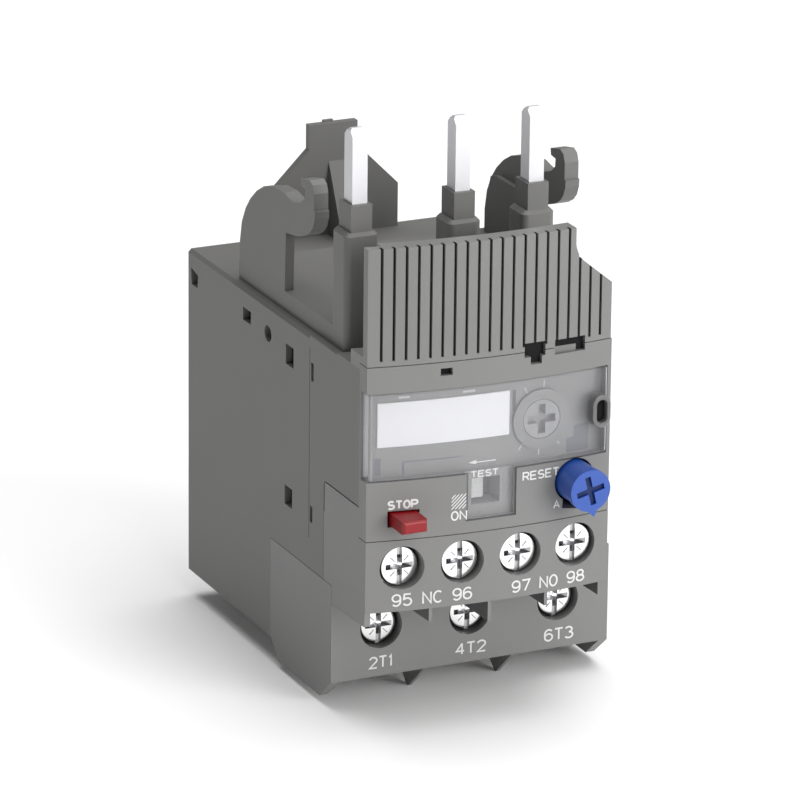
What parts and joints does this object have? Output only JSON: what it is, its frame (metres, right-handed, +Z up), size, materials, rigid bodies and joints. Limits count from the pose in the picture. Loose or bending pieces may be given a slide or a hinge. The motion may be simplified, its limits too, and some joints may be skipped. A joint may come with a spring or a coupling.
{
  "type": "thermal overload relay",
  "caption": "Thermal overload relay with plug-in contact pins, hanging hooks, setting dial behind a clear cover, stop and reset controls, screw terminals and a bimetal trip mechanism.",
  "frame": {"origin": "centre of the bounding box's bottom, level with the tips of the wire dividers", "axes": "+X to the right seen from the front, -Y towards the front, +Z up along the contact pins"},
  "size_m": [0.045, 0.072, 0.0883],
  "materials": {
    "housing_grey": "fine matt moulded",
    "front_grey": "fine matt moulded",
    "clear_cover": "clear, polished",
    "plated_copper": "tin plated",
    "bright_steel": "bright zinc plated",
    "red_plastic": "satin gloss",
    "blue_plastic": "satin gloss",
    "white_plastic": "matt",
    "dial_grey": "matt",
    "label_white": "matt film",
    "terminal_brass": "plain",
    "bimetal": "rolled",
    "heater_wire": "dull",
    "insulator": "unglazed",
    "spring_steel": "bright",
    "mechanism_black": "matt"
  },
  "bodies": {
    "case": {"rear_housing": "housing_grey", "side_panel_left": "housing_grey", "side_panel_right": "housing_grey", "side_door_left": "housing_grey", "terminal_block": "housing_grey", "front_housing": "housing_grey", "top_cover": "housing_grey", "latch_plate": "housing_grey", "pin_sleeve_1": "housing_grey", "pin_sleeve_2": "housing_grey", "pin_sleeve_3": "housing_grey", "aux_block": "front_grey", "control_panel": "front_grey", "grille_cover": "front_grey", "contact_pin_1": "plated_copper", "contact_pin_2": "plated_copper", "contact_pin_3": "plated_copper", "cover_hinge_pin": "bright_steel", "lever_pin": "bright_steel", "terminal_bar_1": "terminal_brass", "terminal_bar_2": "terminal_brass", "terminal_bar_3": "terminal_brass", "aux_fixed_contacts": "terminal_brass", "bimetal_carrier": "insulator", "marking_label": "label_white", "stop_spring": "spring_steel", "reset_spring": "spring_steel", "snap_spring": "spring_steel"},
    "cover": {"transparent_cover": "clear_cover"},
    "dial": {"setting_dial": "dial_grey", "setting_cam": "dial_grey"},
    "stop": {"stop_button": "red_plastic"},
    "reset_shaft": {"reset_plunger": "mechanism_black"},
    "knob": {"reset_knob": "blue_plastic"},
    "tester": {"test_slider": "white_plastic"},
    "slide_bar": {"trip_slide": "mechanism_black"},
    "lever": {"trip_lever": "mechanism_black"},
    "carrier": {"contact_carrier": "mechanism_black", "moving_contacts": "terminal_brass", "trip_indicator": "white_plastic"},
    "clamp_main_1": {"main_clamp_1": "bright_steel"},
    "screw_main_1": {"main_screw_1": "bright_steel"},
    "bimetal_1": {"bimetal_strip_1": "bimetal", "heater_winding_1": "heater_wire"},
    "clamp_main_2": {"main_clamp_2": "bright_steel"},
    "screw_main_2": {"main_screw_2": "bright_steel"},
    "bimetal_2": {"bimetal_strip_2": "bimetal", "heater_winding_2": "heater_wire"},
    "clamp_main_3": {"main_clamp_3": "bright_steel"},
    "screw_main_3": {"main_screw_3": "bright_steel"},
    "bimetal_3": {"bimetal_strip_3": "bimetal", "heater_winding_3": "heater_wire"},
    "clamp_aux_1": {"aux_clamp_1": "bright_steel"},
    "screw_aux_1": {"aux_screw_1": "bright_steel"},
    "clamp_aux_2": {"aux_clamp_2": "bright_steel"},
    "screw_aux_2": {"aux_screw_2": "bright_steel"},
    "clamp_aux_3": {"aux_clamp_3": "bright_steel"},
    "screw_aux_3": {"aux_screw_3": "bright_steel"},
    "clamp_aux_4": {"aux_clamp_4": "bright_steel"},
    "screw_aux_4": {"aux_screw_4": "bright_steel"}
  },
  "joints": [
    {"name": "cover_swing", "type": "hinge", "parent": "case", "child": "cover", "pos_m": [-0.0216, -0.0282, 0.0461], "axis": [0, 0, -1], "range_deg": [0, 110]},
    {"name": "dial_turn", "type": "hinge", "parent": "case", "child": "dial", "pos_m": [0.0048, -0.02895, 0.0457], "axis": [0, -1, 0], "range_deg": [-135, 135]},
    {"name": "stop_press", "type": "slide", "parent": "case", "child": "stop", "axis": [0, 1, 0], "range_m": [0, 0.002], "stiffness_N_per_m": 400, "springref_m": -0.002, "deforming": ["stop_spring"]},
    {"name": "reset_press", "type": "slide", "parent": "case", "child": "reset_shaft", "axis": [0, 1, 0], "range_m": [0, 0.002], "stiffness_N_per_m": 500, "springref_m": -0.002, "deforming": ["reset_spring"]},
    {"name": "knob_turn", "type": "hinge", "parent": "reset_shaft", "child": "knob", "pos_m": [0.0097, -0.03195, 0.0361], "axis": [0, 1, 0], "range_deg": [0, 60]},
    {"name": "test_move", "type": "slide", "parent": "case", "child": "tester", "axis": [1, 0, 0], "range_m": [0, 0.0022]},
    {"name": "slide_move", "type": "slide", "parent": "case", "child": "slide_bar", "axis": [1, 0, 0], "range_m": [0, 0.0019], "stiffness_N_per_m": 300, "springref_m": -0.001},
    {"name": "lever_turn", "type": "hinge", "parent": "case", "child": "lever", "pos_m": [-0.0036, -0.01095, 0.0326], "axis": [0, -1, 0], "range_deg": [0, 12.3]},
    {"name": "carrier_lift", "type": "slide", "parent": "case", "child": "carrier", "axis": [0, 0, 1], "range_m": [0, 0.0014], "deforming": ["snap_spring"]},
    {"name": "bimetal_1_bend", "type": "hinge", "parent": "case", "child": "bimetal_1", "pos_m": [-0.0155, 0.01305, 0.0504], "axis": [0, -1, 0], "range_deg": [0, 3.85]},
    {"name": "bimetal_2_bend", "type": "hinge", "parent": "case", "child": "bimetal_2", "pos_m": [-0.00115, 0.01305, 0.0504], "axis": [0, -1, 0], "range_deg": [0, 3.85]},
    {"name": "bimetal_3_bend", "type": "hinge", "parent": "case", "child": "bimetal_3", "pos_m": [0.0132, 0.01305, 0.0504], "axis": [0, -1, 0], "range_deg": [0, 3.85]},
    {"name": "clamp_main_1_move", "type": "slide", "parent": "case", "child": "clamp_main_1", "axis": [0, -1, 0], "range_m": [-0.00175, 0]},
    {"name": "screw_main_1_turn", "type": "hinge", "parent": "clamp_main_1", "child": "screw_main_1", "pos_m": [-0.0145, -0.01515, 0.0122], "axis": [0, -1, 0], "range_deg": [-901, 0]},
    {"name": "clamp_main_2_move", "type": "slide", "parent": "case", "child": "clamp_main_2", "axis": [0, -1, 0], "range_m": [-0.00175, 0]},
    {"name": "screw_main_2_turn", "type": "hinge", "parent": "clamp_main_2", "child": "screw_main_2", "pos_m": [-0.00015, -0.01515, 0.0122], "axis": [0, -1, 0], "range_deg": [-901, 0]},
    {"name": "clamp_main_3_move", "type": "slide", "parent": "case", "child": "clamp_main_3", "axis": [0, -1, 0], "range_m": [-0.00175, 0]},
    {"name": "screw_main_3_turn", "type": "hinge", "parent": "clamp_main_3", "child": "screw_main_3", "pos_m": [0.0142, -0.01515, 0.0122], "axis": [0, -1, 0], "range_deg": [-901, 0]},
    {"name": "clamp_aux_1_move", "type": "slide", "parent": "case", "child": "clamp_aux_1", "axis": [0, -1, 0], "range_m": [-0.00125, 0]},
    {"name": "screw_aux_1_turn", "type": "hinge", "parent": "clamp_aux_1", "child": "screw_aux_1", "pos_m": [-0.01715, -0.02783, 0.0261], "axis": [0, -1, 0], "range_deg": [-901, 0]},
    {"name": "clamp_aux_2_move", "type": "slide", "parent": "case", "child": "clamp_aux_2", "axis": [0, -1, 0], "range_m": [-0.00125, 0]},
    {"name": "screw_aux_2_turn", "type": "hinge", "parent": "clamp_aux_2", "child": "screw_aux_2", "pos_m": [-0.00808, -0.02891, 0.0261], "axis": [0, -1, 0], "range_deg": [-901, 0]},
    {"name": "clamp_aux_3_move", "type": "slide", "parent": "case", "child": "clamp_aux_3", "axis": [0, -1, 0], "range_m": [-0.00125, 0]},
    {"name": "screw_aux_3_turn", "type": "hinge", "parent": "clamp_aux_3", "child": "screw_aux_3", "pos_m": [0.00098, -0.02922, 0.0261], "axis": [0, -1, 0], "range_deg": [-901, 0]},
    {"name": "clamp_aux_4_move", "type": "slide", "parent": "case", "child": "clamp_aux_4", "axis": [0, -1, 0], "range_m": [-0.00125, 0]},
    {"name": "screw_aux_4_turn", "type": "hinge", "parent": "clamp_aux_4", "child": "screw_aux_4", "pos_m": [0.01005, -0.02874, 0.0261], "axis": [0, -1, 0], "range_deg": [-901, 0]}
  ],
  "couplings": [
    {"joint": "lever_turn", "follows": "slide_move", "rad_per_m": 112.3},
    {"joint": "carrier_lift", "follows": "slide_move", "ratio": 0.73},
    {"joint": "bimetal_1_bend", "follows": "slide_move", "rad_per_m": 35},
    {"joint": "bimetal_2_bend", "follows": "slide_move", "rad_per_m": 35},
    {"joint": "bimetal_3_bend", "follows": "slide_move", "rad_per_m": 35},
    {"joint": "screw_main_1_turn", "follows": "clamp_main_1_move", "rad_per_m": 8976},
    {"joint": "screw_main_2_turn", "follows": "clamp_main_2_move", "rad_per_m": 8976},
    {"joint": "screw_main_3_turn", "follows": "clamp_main_3_move", "rad_per_m": 8976},
    {"joint": "screw_aux_1_turn", "follows": "clamp_aux_1_move", "rad_per_m": 12566},
    {"joint": "screw_aux_2_turn", "follows": "clamp_aux_2_move", "rad_per_m": 12566},
    {"joint": "screw_aux_3_turn", "follows": "clamp_aux_3_move", "rad_per_m": 12566},
    {"joint": "screw_aux_4_turn", "follows": "clamp_aux_4_move", "rad_per_m": 12566}
  ]
}
